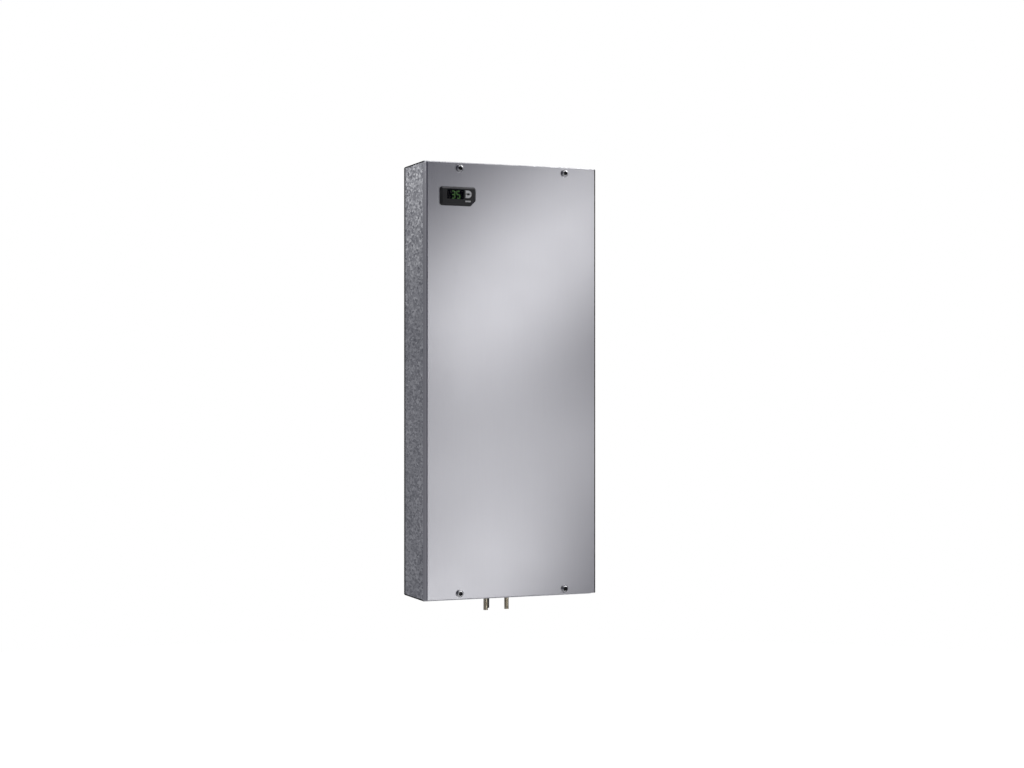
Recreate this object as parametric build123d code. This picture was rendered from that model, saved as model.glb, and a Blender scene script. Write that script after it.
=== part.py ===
from build123d import *
import math
import os

os.makedirs("parts", exist_ok=True)

# Wall-mounted air/water heat exchanger. Millimetres.
# X to the right seen from the front, Y to the rear, Z up.
# y = 0 is the rear face of the back panel, x = 0 and z = 0 its middle.

# ---- casing and cover
W, H = 400.0, 950.0        # outline
Y_SEAM = -123.0            # front face of the casing's return flange
Y_FRONT = -145.0           # front face of the cover
H_COVER = 942.0            # the cover ends 4 short of the casing at each end
T = 1.5                    # sheet
R_BEND = 2.0               # outside of a bend
R_CASE = 4.0               # long edges of the casing
R_COVER = 4.0              # outside of the cover's upright front bends
R_END = 1.2                # its other edges
FL_SIDE, FL_END = 18.0, 30.0   # return flanges of the casing
LIP_SIDE, LIP_END = 14.0, 26.0  # return lips of the cover
SEAL = 1.2                 # cover gasket, compressed
Y_LIP = Y_SEAM - SEAL      # rear face of the cover's lip
SCREW_X, SCREW_Z = 123.4, 458.5
MOUNT_X, MOUNT_Z, MOUNT_MID = 175.0, 440.0, 60.0
Y_EDGE = -7.5              # rear edge of the casing, under the mounting gasket
REAR_SEAL = 2.0            # mounting gasket, proud of the back panel, flush with the casing

# ---- fan
ZF = 225.0                 # fan axis height
R_IN = 90.0                # air inlet in the back panel
R_WHEEL = 100.0

# ---- coil
ROW_F, ROW_B = -72.5, -47.5    # tube rows, front and back
PITCH = 25.0
Z0 = -300.0                # lowest tube
N_TUBE = 12
R_TUBE, R_TUBE_IN = 5.0, 4.3
X_END = 168.0              # where the straight tubes end
X_PLATE = 160.0            # outside of the end plates
FINS, FIN_T = 80, 0.4

# ---- water and condensate
PX, PY, Z_STUB = 25.0, -47.0, -509.8
DX, DY = -12.6, -21.0
R_DRAIN = 6.0

# ---- controller
XC, ZC = -130.0, 398.0
BZ_W, BZ_H, BZ_CUT = 82.0, 41.0, 12.0
BZ_U = 2.0                 # the bezel's outline sits this far right of its panel cutout
Y_BZ_BACK, Y_BZ_FRONT = -145.6, -153.0


def box(x0, x1, y0, y1, z0, z1):
    return Pos((x0 + x1) / 2, (y0 + y1) / 2, (z0 + z1) / 2) * Box(x1 - x0, y1 - y0, z1 - z0)


def rod(axis, a, b, r, lo, hi):
    mid, long = (lo + hi) / 2, hi - lo
    if axis == "X":
        return Pos(mid, a, b) * Rot(0, 90, 0) * Cylinder(r, long)
    if axis == "Y":
        return Pos(a, mid, b) * Rot(90, 0, 0) * Cylinder(r, long)
    return Pos(a, b, mid) * Cylinder(r, long)


def ring(axis, a, b, r, r_in, lo, hi):
    return rod(axis, a, b, r, lo, hi) - rod(axis, a, b, r_in, lo - 1, hi + 1)


def slab(sketch, y0, y1):
    """A shape in (x, z) between two depths."""
    return extrude(Plane.XZ.offset(-y1) * sketch, y1 - y0)


def turned(points, x, z):
    """A solid of revolution about a line along Y, from (radius, y) points."""
    face = make_face(Polyline(*points, close=True))
    return revolve(Plane.XY.offset(0) * face, axis=Axis((0, 0, 0), (0, 1, 0))).moved(Location((x, 0, z)))


def pipe(points, radii, r, r_in=None):
    path = FilletPolyline(*points, radius=radii) if len(points) > 2 else Line(*points)
    start = Plane(origin=path @ 0, z_dir=path % 0)
    solid = sweep(start * Circle(r), path=path)
    if r_in:
        solid = solid - sweep(start * Circle(r_in), path=path)
    return solid


def folded(points, t, rm):
    """Section of a sheet folded along a middle line."""
    pts = [Vector(*p) for p in points]
    n = len(pts)

    def side(sign):
        out, radii = [], []
        for i in range(n):
            if i in (0, n - 1):
                d = ((pts[1] - pts[0]) if i == 0 else (pts[-1] - pts[-2])).normalized()
                out.append(pts[i] + Vector(-d.Y, d.X) * (sign * t / 2))
            else:
                d0 = (pts[i] - pts[i - 1]).normalized()
                d1 = (pts[i + 1] - pts[i]).normalized()
                n0, n1 = Vector(-d0.Y, d0.X), Vector(-d1.Y, d1.X)
                m = (n0 + n1) * (1 / (1 + n0.dot(n1)))
                out.append(pts[i] + m * (sign * t / 2))
                turn = d0.X * d1.Y - d0.Y * d1.X
                radii.append(rm - t / 2 if turn * sign > 0 else rm + t / 2)
        return out, radii

    left, r_left = side(1)
    right, r_right = side(-1)
    a = FilletPolyline(*left, radius=r_left)
    b = FilletPolyline(*right, radius=r_right)
    edges = list(a.edges()) + list(b.edges())
    edges += [Line(left[-1], right[-1]).edge(), Line(right[0], left[0]).edge()]
    return make_face(edges)


def save(name, *shapes):
    solids = []
    for s in shapes:
        solids += list(s.solids())
    shape = solids[0] if len(solids) == 1 else Compound(children=solids)
    export_step(shape, f"parts/{name}.step")
    print(f"{name}: {len(solids)} solid(s), {sum(s.volume for s in solids):.1f} mm3")


corners = [(sx * SCREW_X, sz * SCREW_Z) for sx in (-1, 1) for sz in (-1, 1)]
mounts = [(sx * MOUNT_X, z) for sx in (-1, 1) for z in (-MOUNT_Z, MOUNT_MID, MOUNT_Z)]

# rivets: x, z and the inner face of the sheets they hold
rivets = [(sx * 134.0, ZF + dz, -3.5) for sx in (-1, 1) for dz in (-20, 20)]
rivets += [(sx * 169.0, z, -3.0) for sx in (-1, 1) for z in (-310.0, -155.0, 0.0)]
rivets += [(x, 30.0, -3.0) for x in (-120.0, 0.0, 120.0)]
rivets += [(x, -345.0, -2.7) for x in (-150.0, 0.0, 150.0)]
rivets += [(0.0, ZF + 99.5, -6.5), (0.0, ZF - 99.5, -6.5), (99.5, ZF, -6.5), (-99.5, ZF, -6.5)]

# ================================================================ casing
# wrapper: four walls in one loop, with return flanges in front
outer = box(-W / 2, W / 2, Y_SEAM, Y_EDGE, -H / 2, H / 2)
outer = fillet(outer.edges().filter_by(Axis.Y), R_CASE)
outer = fillet(outer.faces().sort_by(Axis.Y)[0].edges(), R_BEND)
inner = box(-W / 2 + T, W / 2 - T, Y_SEAM + T, 5, -H / 2 + T, H / 2 - T)
inner = fillet(inner.edges().filter_by(Axis.Y), R_CASE - T)
inner = fillet(inner.faces().sort_by(Axis.Y)[0].edges(), 0.8)
wrapper = outer - inner
wrapper -= box(-W / 2 + FL_SIDE, W / 2 - FL_SIDE, Y_SEAM - 1, Y_SEAM + T + 0.2,
               -H / 2 + FL_END, H / 2 - FL_END)
# butt joints of the flanges at the corners
for sx in (-1, 1):
    for sz in (-1, 1):
        wrapper -= box(min(sx * 182, sx * 197.5), max(sx * 182, sx * 197.5), Y_SEAM - 1, Y_SEAM + T + 0.05,
                       min(sz * 444.6, sz * 445.2), max(sz * 444.6, sz * 445.2))
for x, z in corners:
    wrapper -= rod("Y", x, z, 5.6, Y_SEAM - 1, Y_SEAM + T + 0.5)
Z_BOT = -H / 2
for x in (-PX, PX):
    wrapper -= rod("Z", x, PY, 9.0, Z_BOT - 1, Z_BOT + T + 0.5)
wrapper -= rod("Z", DX, DY, 9.5, Z_BOT - 1, Z_BOT + T + 0.5)
save("casing_wrapper", wrapper)

# back panel: shallow pan inside the wrapper
PW, PH = W - 2 * T - 0.2, H - 2 * T - 0.2
pan = box(-PW / 2, PW / 2, -15, 0, -PH / 2, PH / 2)
pan = fillet(pan.edges().filter_by(Axis.Y), R_CASE - T + 0.1)
pan = fillet(pan.faces().sort_by(Axis.Y)[-1].edges(), R_BEND)
hollow = box(-PW / 2 + T, PW / 2 - T, -20, -T, -PH / 2 + T, PH / 2 - T)
hollow = fillet(hollow.faces().sort_by(Axis.Y)[-1].edges(), 1.0)
pan -= hollow
OUT_W, OUT_Z0, OUT_Z1 = 290.0, -300.0, -20.0
pan -= rod("Y", 0, ZF, R_IN, -5, 5)
pan -= slab(Pos(0, (OUT_Z0 + OUT_Z1) / 2) * RectangleRounded(OUT_W, OUT_Z1 - OUT_Z0, 8), -5, 5)
for x, z in mounts:
    pan -= rod("Y", x, z, 4.6, -5, 5)
GX, GZ = 160.0, -395.0
pan -= rod("Y", GX, GZ, 11.0, -5, 5)
for x, z, _ in rivets:
    pan -= rod("Y", x, z, 2.1, -5, 5)
# room for the drain grommet in the lower flange
pan -= box(DX - 13.5, DX + 13.5, -16, -6.5, -480, -470)
save("back_panel", pan)

# front cover: pan with return lips
shell = box(-W / 2, W / 2, Y_FRONT, Y_LIP, -H_COVER / 2, H_COVER / 2)
shell = fillet(shell.edges().filter_by(Axis.Z).group_by(Axis.Y)[0], R_COVER)
ends = shell.faces().sort_by(Axis.Z)
rear = Y_LIP - 0.01
shell = fillet([e for f in (ends[0], ends[-1]) for e in f.edges() if e.center().Y < rear], R_END)
shell = fillet(shell.faces().sort_by(Axis.Y)[-1].edges(), R_END - 0.2)
cav = box(-W / 2 + T, W / 2 - T, Y_FRONT + T, Y_LIP - T, -H_COVER / 2 + T, H_COVER / 2 - T)
cav = fillet(cav.edges().filter_by(Axis.Z).group_by(Axis.Y)[0], R_COVER - T)
cover = shell - cav
cover -= box(-W / 2 + LIP_SIDE, W / 2 - LIP_SIDE, Y_LIP - T - 0.5, Y_LIP + 1,
             -H_COVER / 2 + LIP_END, H_COVER / 2 - LIP_END)
for x, z in corners:
    cover -= rod("Y", x, z, 4.5, Y_FRONT - 1, Y_LIP + 1)
CUT_W, CUT_H = 68.0, 32.0
cover -= slab(Pos(XC, ZC) * RectangleRounded(CUT_W, CUT_H, 1.5), Y_FRONT - 1, Y_FRONT + T + 0.5)
save("front_cover", cover)

# cover gasket
g = RectangleRounded(W - 8, H_COVER - 8, 4) - Rectangle(W - 26, H_COVER - 48)
for x, z in corners:
    g -= Pos(x, z) * Circle(8.0)
save("cover_gasket", slab(g, Y_LIP, Y_SEAM))

# cover screws: button heads with a countersunk hexagon socket
Y_HEAD = Y_FRONT - 1.6
head = make_face([
    Line((0, Y_HEAD), (7.6, Y_HEAD)).edge(),
    Line((7.6, Y_HEAD), (7.6, Y_HEAD - 0.9)).edge(),
    ThreePointArc((7.6, Y_HEAD - 0.9), (6.8, Y_HEAD - 3.7), (5.1, Y_HEAD - 5.2)).edge(),
    Line((5.1, Y_HEAD - 5.2), (4.8, Y_HEAD - 5.2)).edge(),
    Line((4.8, Y_HEAD - 5.2), (3.4, Y_HEAD - 4.0)).edge(),
    Line((3.4, Y_HEAD - 4.0), (0, Y_HEAD - 4.0)).edge(),
    Line((0, Y_HEAD - 4.0), (0, Y_HEAD)).edge(),
])
screw = revolve(head, axis=Axis((0, 0, 0), (0, 1, 0)))
screw += rod("Y", 0, 0, 4.0, Y_HEAD, Y_SEAM + 15.5)
screw = chamfer(screw.edges().group_by(Axis.Y)[-1], 0.8)
screw -= slab(RegularPolygon(6.0 / math.sqrt(3), 6), Y_HEAD - 6, Y_HEAD - 1.8)
save("cover_screws", *[Pos(x, 0, z) * screw for x, z in corners])
washers = []
for x, z in corners:
    w = rod("Y", x, z, 8.6, Y_HEAD, Y_FRONT)
    w = fillet(w.edges().filter_by(GeomType.CIRCLE).group_by(Axis.Y)[0], 0.6)
    washers.append(w - rod("Y", x, z, 4.25, Y_HEAD - 1, Y_FRONT + 1))
save("cover_washers", *washers)
save("cover_spacers", *[ring("Y", x, z, 8.0, 4.6, Y_FRONT + T, Y_LIP - T) for x, z in corners])
nuts = []
for x, z in corners:
    n = rod("Y", x, z, 5.55, Y_SEAM, Y_SEAM + 17.5) + rod("Y", x, z, 7.5, Y_SEAM - 1.0, Y_SEAM)
    n += rod("Y", x, z, 6.6, Y_SEAM + T, Y_SEAM + T + 4)
    nuts.append(n - rod("Y", x, z, 4.06, Y_SEAM - 3, Y_SEAM + 20))
save("cover_rivet_nuts", *nuts)

# mounting rivet nuts and mounting gasket
nuts = []
for x, z in mounts:
    n = rod("Y", x, z, 4.55, -14.0, 0) + rod("Y", x, z, 6.5, 0, 1.0) + rod("Y", x, z, 5.4, -T - 3.5, -T)
    nuts.append(n - rod("Y", x, z, 2.6, -16, 3))
save("mounting_rivet_nuts", *nuts)
# angle section: one leg caps the casing's rear edge, the other lies on the back panel
rim = RectangleRounded(W, H, R_CASE)
seal = slab(rim - RectangleRounded(PW + 0.1, PH + 0.1, R_CASE - T + 0.15), Y_EDGE, 0)
seal += slab(rim - RectangleRounded(W - 24, H - 24, 2), 0, REAR_SEAL)
save("mounting_gasket", seal)

made = []
for x, z, y in rivets:
    r = rod("Y", x, z, 2.05, y - 2.5, 0) + rod("Y", x, z, 2.9, y - 2.5, y)
    dome = turned([(0, 0), (4.0, 0), (3.9, 0.5), (3.0, 1.0), (1.4, 1.2), (0, 1.2)], x, z)
    made.append(r + dome)
save("rivets", *made)

# ================================================================ fan
AX = Axis((0, 0, 0), (0, 1, 0))
prof = make_face([
    Line((89.5, -1.5), (106, -1.5)).edge(), Line((106, -1.5), (106, -6.5)).edge(),
    Line((106, -6.5), (93, -6.5)).edge(), Line((93, -6.5), (89.5, -7)).edge(),
    ThreePointArc((89.5, -7), (89.5 - 24 * math.sqrt(0.5), -31 + 24 * math.sqrt(0.5)), (65.5, -31)).edge(),
    Line((65.5, -31), (63.5, -31)).edge(),
    ThreePointArc((63.5, -31), (89.5 - 26 * math.sqrt(0.5), -31 + 26 * math.sqrt(0.5)), (89.5, -5)).edge(),
    Line((89.5, -5), (89.5, -1.5)).edge(),
])
nozzle = Pos(0, 0, ZF) * revolve(prof, axis=AX)
Y_WIRE, R_WIRE = -2.9, 1.2
for a in (45, 135, 225, 315):
    nozzle -= Pos(0, 0, ZF) * Rot(0, a, 0) * box(80, 98.5, Y_WIRE - 1.35, 0, -1.35, 1.35)
for x, z, y in rivets:
    if y == -6.5:
        nozzle -= rod("Y", x, z, 2.1, -10, 0)
save("inlet_nozzle", nozzle)

guard = None
for r in (18, 31, 44, 57, 70, 83):
    t = Pos(0, Y_WIRE, ZF) * Rot(90, 0, 0) * Torus(r, R_WIRE)
    guard = t if guard is None else guard + t
for a in (45, 135, 225, 315):
    guard += Pos(0, 0, ZF) * Rot(0, a, 0) * rod("X", Y_WIRE, 0, R_WIRE, 17.5, 98.0)
save("fan_guard", guard)

hat = folded([(-142, -2.5), (-123, -2.5), (-123, -96), (123, -96), (123, -2.5), (142, -2.5)], 2.0, 3.0)
bracket = extrude(Plane.XY.offset(ZF - 32) * hat, 64)
bracket -= rod("Y", 0, ZF, 18, -100, -90)
fan_holes = [(32 * math.cos(math.radians(a)), ZF + 32 * math.sin(math.radians(a))) for a in (45, 135, 225, 315)]
for x, z in fan_holes:
    bracket -= rod("Y", x, z, 2.3, -100, -90)
for x, z, y in rivets:
    if y == -3.5:
        bracket -= rod("Y", x, z, 2.1, -6, 0)
for sx in (-1, 1):
    bracket -= Pos(sx * 80, 0, ZF) * slab(SlotOverall(50, 26), -100, -90)
save("fan_bracket", bracket)

stator = turned([(0, -95), (46, -95), (46, -86), (30, -86), (30, -83), (41.4, -83), (41.4, -63), (36, -63),
                 (36, -57), (16, -57), (16, -61), (11, -61), (11, -93), (0, -93)], 0, ZF)
for x, z in fan_holes:
    stator -= rod("Y", x, z, 2.05, -96, -87.5)
save("fan_stator", stator)
save("fan_bearings", ring("Y", 0, ZF, 10.99, 4.03, -69, -62), ring("Y", 0, ZF, 10.99, 4.03, -91, -84))
save("fan_shaft", rod("Y", 0, ZF, 4.0, -92, -50))
save("rotor_cup", turned([(4.01, -50), (42.5, -50), (46, -53.5), (46, -84), (42, -84), (42, -54.5), (8, -54.5),
                          (8, -60), (4.01, -60)], 0, ZF))

# backward-curved wheel: hub disc, seven blades, shroud
N_BLADE = 7
r0, r1, sweep_deg, r_arc, tb = 58.0, 99.6, 48.0, 78.0, 2.0
p0 = Vector(r0, 0)
p1 = Vector(r1 * math.cos(math.radians(sweep_deg)), r1 * math.sin(math.radians(sweep_deg)))
mid = (p0 + p1) * 0.5
d = (p1 - p0).normalized()
h = math.sqrt(r_arc ** 2 - ((p1 - p0).length / 2) ** 2)
ctr = mid + Vector(-d.Y, d.X) * h
a0 = math.atan2(p0.Y - ctr.Y, p0.X - ctr.X)
a1 = math.atan2(p1.Y - ctr.Y, p1.X - ctr.X)
am = (a0 + a1) / 2


def on(r, a):
    return (ctr.X + r * math.cos(a), ctr.Y + r * math.sin(a))


ra, rb = r_arc - tb / 2, r_arc + tb / 2
blade = make_face([
    ThreePointArc(on(ra, a0), on(ra, am), on(ra, a1)).edge(), Line(on(ra, a1), on(rb, a1)).edge(),
    ThreePointArc(on(rb, a1), on(rb, am), on(rb, a0)).edge(), Line(on(rb, a0), on(ra, a0)).edge(),
])
blade = slab(blade, -82, -30)
room = turned([(50, -82), (99.6, -82), (99.6, -46.2), (68.5, -35.9), (56, -40)], 0, 0)
blade = blade & room
wheel = turned([(46.03, -84), (R_WHEEL, -84), (R_WHEEL, -82), (46.03, -82)], 0, 0)
wheel += turned([(68, -27), (70, -27), (70, -34.4), (R_WHEEL, -44.4), (R_WHEEL, -46.4), (68, -35.8)], 0, 0)
for i in range(N_BLADE):
    wheel += Rot(0, i * 360 / N_BLADE, 0) * blade
save("impeller", Pos(0, 0, ZF) * wheel)

made = []
for x, z in fan_holes:
    s = rod("Y", x, z, 2.0, -97, -88) + rod("Y", x, z, 3.6, -99.8, -97)
    made.append(s - Pos(x, 0, z) * slab(RegularPolygon(1.73, 6), -100, -98.2))
save("fan_screws", *made)

# ================================================================ coil
zs = [Z0 + PITCH * i for i in range(N_TUBE)]
fin = Pos((ROW_F + ROW_B) / 2, (zs[0] + zs[-1]) / 2) * Rectangle(52, zs[-1] - zs[0] + 28)
for i, z in enumerate(zs):
    fin -= Pos(ROW_B, z) * Circle(R_TUBE + 0.3)
    if i < N_TUBE - 1:
        fin -= Pos(ROW_F, z) * Circle(R_TUBE + 0.3)
fin = extrude(Plane.YZ * fin, FIN_T)
step = (2 * (X_PLATE - 3) - FIN_T) / (FINS - 1)
save("coil_fins", *[Pos(-(X_PLATE - 3) + i * step, 0, 0) * fin for i in range(FINS)])

r_bend = (ROW_B - ROW_F) / 2


def bend(x, y, z, start, r, plane):
    """Half a turn of tube: plane 'Z' lies flat, plane 'Y' stands upright."""
    if plane == "Z":
        arc = ThreePointArc((x, ROW_F, z), (x + r_bend, (ROW_F + ROW_B) / 2, z), (x, ROW_B, z))
    else:
        arc = ThreePointArc((x, y, z), (x - PITCH / 2, y, z + PITCH / 2), (x, y, z + PITCH))
    return sweep(Plane(origin=arc @ 0, z_dir=arc % 0) * Circle(r), path=arc)


hair = rod("X", ROW_F, 0, R_TUBE, -X_END, X_END) + rod("X", ROW_B, 0, R_TUBE, -X_END, X_END)
hair += bend(X_END, 0, 0, 0, R_TUBE, "Z")
core = rod("X", ROW_F, 0, R_TUBE_IN, -X_END - 1, X_END) + rod("X", ROW_B, 0, R_TUBE_IN, -X_END - 1, X_END)
core += bend(X_END, 0, 0, 0, R_TUBE_IN, "Z")
hair -= core
tubes = [Pos(0, 0, z) * hair for z in zs[:-1]]
tubes.append(ring("X", ROW_B, zs[-1], R_TUBE, R_TUBE_IN, -X_END, X_END))
save("coil_tubes", *tubes)
bends = []
for i, z in enumerate(zs[:-1]):
    y = ROW_B if i % 2 == 0 else ROW_F
    bends.append(bend(-X_END, y, z, 0, R_TUBE, "Y") - bend(-X_END, y, z, 0, R_TUBE_IN, "Y"))
save("coil_return_bends", *bends)

for name, s in (("coil_end_plate_left", -1), ("coil_end_plate_right", 1)):
    xm = X_PLATE - T / 2
    sec = folded([(s * 178, -2.25), (s * xm, -2.25), (s * xm, -89)], T, 1.75)
    plate = extrude(Plane.XY.offset(-330) * sec, 350)
    for i, z in enumerate(zs):
        plate -= rod("X", ROW_B, z, R_TUBE + 0.3, s * xm - 5, s * xm + 5)
        if i < N_TUBE - 1:
            plate -= rod("X", ROW_F, z, R_TUBE + 0.3, s * xm - 5, s * xm + 5)
    for x, z, y in rivets:
        if abs(x) == 169.0 and x * s > 0:
            plate -= rod("Y", x, z, 2.1, -6, 0)
    save(name, plate)

sec = folded([(-2.25, 38), (-2.25, 20.75), (-91.25, 20.75), (-91.25, -12)], T, 1.75)
baffle = extrude(Plane.YZ.offset(-X_PLATE) * sec, 2 * X_PLATE)
for x, z, y in rivets:
    if z == 30.0:
        baffle -= rod("Y", x, z, 2.1, -6, 0)
save("air_baffle", baffle)

tray = box(-183, 183, -98, -1.5, -366, -336)
tray = fillet(tray.edges().filter_by(Axis.Z), 3.0)
tray = fillet(tray.faces().sort_by(Axis.Z)[0].edges(), 2.5)
pit = box(-181.8, 181.8, -96.8, -2.7, -364.8, -330)
pit = fillet(pit.edges().filter_by(Axis.Z), 1.8)
pit = fillet(pit.faces().sort_by(Axis.Z)[0].edges(), 1.3)
tray -= pit
tray -= rod("Z", DX, DY, R_DRAIN + 0.1, -370, -360)
for x, z, y in rivets:
    if z == -345.0:
        tray -= rod("Y", x, z, 2.1, -6, 0)
save("condensate_tray", tray)

# ================================================================ water side
GROOVE = (-480.5, -478.0)   # shallow groove where a hose or sleeve stops


def groove(x, y, r):
    return ring("Z", x, y, r + 3, r - 0.2, *GROOVE)


drain = rod("Z", DX, DY, R_DRAIN, Z_STUB + 1.0, -363.3) + rod("Z", DX, DY, 10.0, -364.8, -363.3)
drain = chamfer(drain.edges().filter_by(GeomType.CIRCLE).group_by(Axis.Z)[0], 0.6)
drain -= rod("Z", DX, DY, R_DRAIN - 1.5, Z_STUB - 1, -360)
drain -= groove(DX, DY, R_DRAIN)
save("drain_pipe", drain)

save("water_inlet_pipe", pipe([(-PX, PY, Z_STUB), (-PX, PY, -455.0)], [], R_TUBE, R_TUBE_IN) - groove(-PX, PY, R_TUBE))
Z_FEED = -427.0
save("feed_pipe", pipe([(-PX - 18, PY, Z_FEED), (-182, PY, Z_FEED), (-182, -106, Z_FEED), (-182, -106, zs[0]),
                        (-182, ROW_F, zs[0]), (-X_END, ROW_F, zs[0])], [20, 20, 15, 12], R_TUBE, R_TUBE_IN))
out_path = [(X_END, ROW_B, zs[-1]), (182, ROW_B, zs[-1]), (182, -106, zs[-1]), (182, -106, -452),
            (182, PY, -452), (PX, PY, -452), (PX, PY, Z_STUB)]
outlet = pipe(out_path, [12, 20, 20, 20, 15], R_TUBE, R_TUBE_IN)
BLEED_Y = -72.0
outlet -= rod("Z", 182, BLEED_Y, 1.5, zs[-1], zs[-1] + 8)
outlet -= groove(PX, PY, R_TUBE)
save("water_outlet_pipe", outlet)

made = []
for x in (-PX, PX):
    n = rod("Z", x, PY, 11.5, Z_BOT - 2.5, Z_BOT) + rod("Z", x, PY, 8.95, Z_BOT, Z_BOT + T)
    n += rod("Z", x, PY, 11.5, Z_BOT + T, Z_BOT + T + 2.5)
    n = fillet(n.edges().filter_by(GeomType.CIRCLE).group_by(Axis.Z)[0], 1.0)
    made.append(n - rod("Z", x, PY, R_TUBE + 0.02, Z_BOT - 9, Z_BOT + 9))
n = rod("Z", DX, DY, 12.0, Z_BOT - 2.5, Z_BOT) + rod("Z", DX, DY, 9.45, Z_BOT, Z_BOT + T)
n += rod("Z", DX, DY, 12.0, Z_BOT + T, Z_BOT + T + 2.5)
n = fillet(n.edges().filter_by(GeomType.CIRCLE).group_by(Axis.Z)[0], 1.0)
made.append(n - rod("Z", DX, DY, R_DRAIN + 0.02, Z_BOT - 9, Z_BOT + 9))
save("pipe_grommets", *made)


def hexnut(axis, a, b, lo, hi, flat, bore):
    n = extrude(RegularPolygon(flat / math.sqrt(3), 6), hi - lo)
    n = n & Pos(0, 0, (hi - lo) / 2) * Cylinder(flat / math.sqrt(3) - 0.5, hi - lo)
    n -= Pos(0, 0, (hi - lo) / 2) * Cylinder(bore, hi - lo + 2)
    if axis == "X":
        return Pos(lo, a, b) * Rot(0, 90, 0) * n
    return Pos(a, b, lo) * n


# solenoid valve
VX, VY = -PX, PY
body = box(VX - 18, VX + 18, VY - 17, VY + 17, -455, -420)
body = fillet(body.edges().filter_by(Axis.Z), 4.0)
body -= rod("Z", VX, VY, 3.0, -460, -425)
body -= rod("Z", VX, VY, 8.0, -432, -415)
body -= rod("X", VY, Z_FEED, 4.0, VX - 20, VX)
save("valve_body", body)
tube = rod("Z", VX, VY, 6.2, -420, -378) + rod("Z", VX, VY, 11.0, -420, -417)
tube -= rod("Z", VX, VY, 5.0, -425, -380)
save("valve_tube", tube)
save("valve_plunger", rod("Z", VX, VY, 4.93, -432, -396))
hx = Pos(VX, VY, -395.4) * Helix(3.0, 14.8, 3.2)
save("valve_spring", sweep(Plane(origin=hx @ 0, z_dir=hx % 0) * Circle(0.45), path=hx, is_frenet=True))
coil = box(VX - 16, VX + 16, VY - 17, VY + 17, -417, -381)
coil = fillet(coil.edges(), 3.0)
coil -= rod("Z", VX, VY, 6.5, -420, -370)
save("valve_coil", coil)
save("valve_nut", hexnut("Z", VX, VY, -381, -376, 17.0, 6.25))
plug = box(VX + 16, VX + 38, VY - 11, VY + 11, -412, -386)
plug = fillet(plug.faces().sort_by(Axis.X)[-1].edges(), 3.0)
save("valve_plug", plug)
save("union_nuts", hexnut("Z", VX, VY, -467, -455, 19.0, R_TUBE + 0.03),
     hexnut("X", VY, Z_FEED, VX - 30, VX - 18, 19.0, R_TUBE + 0.03))

# bleed valve on the highest run
zb = zs[-1]
bleed = rod("Z", 182, BLEED_Y, 4.5, zb, zb + 15) + hexnut("Z", 182, BLEED_Y, zb + 12, zb + 23, 12.0, 2.0)
bleed += rod("Z", 182, BLEED_Y, 2.4, zb + 12, zb + 23)
bleed -= rod("Y", 182, zb, R_TUBE, BLEED_Y - 20, BLEED_Y + 20)
bleed -= rod("Z", 182, BLEED_Y, 1.5, zb, zb + 14)
bleed -= rod("Z", 182, BLEED_Y, 2.55, zb + 12, zb + 30)
save("bleed_valve_body", bleed)
bs = rod("Z", 182, BLEED_Y, 2.5, zb + 13, zb + 24) + rod("Z", 182, BLEED_Y, 4.2, zb + 23.4, zb + 28)
bs -= box(182 - 6, 182 + 6, BLEED_Y - 0.6, BLEED_Y + 0.6, zb + 26.4, zb + 29)
save("bleed_screw", bs)

# ================================================================ controller


def bezel_face(inset, grow=0.0):
    w, hh = BZ_W / 2 - inset, BZ_H / 2 - inset
    k = BZ_CUT - inset * (2 - math.sqrt(2))
    pts = [(-w, -hh), (w - k, -hh), (w, -hh + k), (w, hh), (-w, hh), (-w, -hh)]
    rr = max(1.0, 5.5 - inset)
    line = FilletPolyline(*pts[:-1], radius=[rr, 2.0, 2.0, rr, rr], close=True)
    return Pos(XC + BZ_U, ZC) * make_face(line.edges())


bez = loft([Plane.XZ.offset(-Y_BZ_BACK) * bezel_face(0.0), Plane.XZ.offset(-Y_BZ_BACK + 1.4) * bezel_face(0.0)],
           ruled=True)
bez += loft([Plane.XZ.offset(-Y_BZ_BACK + 1.4) * bezel_face(0.0), Plane.XZ.offset(-Y_BZ_FRONT) * bezel_face(4.4)],
            ruled=True)
bez -= slab(bezel_face(5.0), -151.0, Y_BZ_BACK + 1)
WIN_U0, WIN_U1, WIN_V0, WIN_V1 = -25.0, 13.8, -6.8, 14.5
win_u, win_v = (WIN_U0 + WIN_U1) / 2, (WIN_V0 + WIN_V1) / 2
bez -= slab(Pos(XC + win_u, ZC + win_v) * RectangleRounded(WIN_U1 - WIN_U0, WIN_V1 - WIN_V0, 1.2), -156, -150)
D_U0, D_UC, D_V, D_R = 17.0, 23.0, 4.5, 8.0


def d_shape(grow):
    s = Pos(D_UC, D_V) * Circle(D_R + grow)
    s -= Pos(D_UC - 50, D_V) * Rectangle(100, 100)
    s += Pos((D_U0 - grow + D_UC) / 2, D_V) * Rectangle(D_UC - D_U0 + grow, 2 * (D_R + grow))
    return s


def island(grow):
    """Black middle of the key pad, held by a web from the window's side."""
    s = Pos(D_UC + 0.4, D_V) * RectangleRounded(6.4 + 2 * grow, 4.2 + 2 * grow, 1.6 + grow)
    return s + Pos(18.0, D_V) * Rectangle(6.0, 1.0 + 2 * grow)


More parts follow.
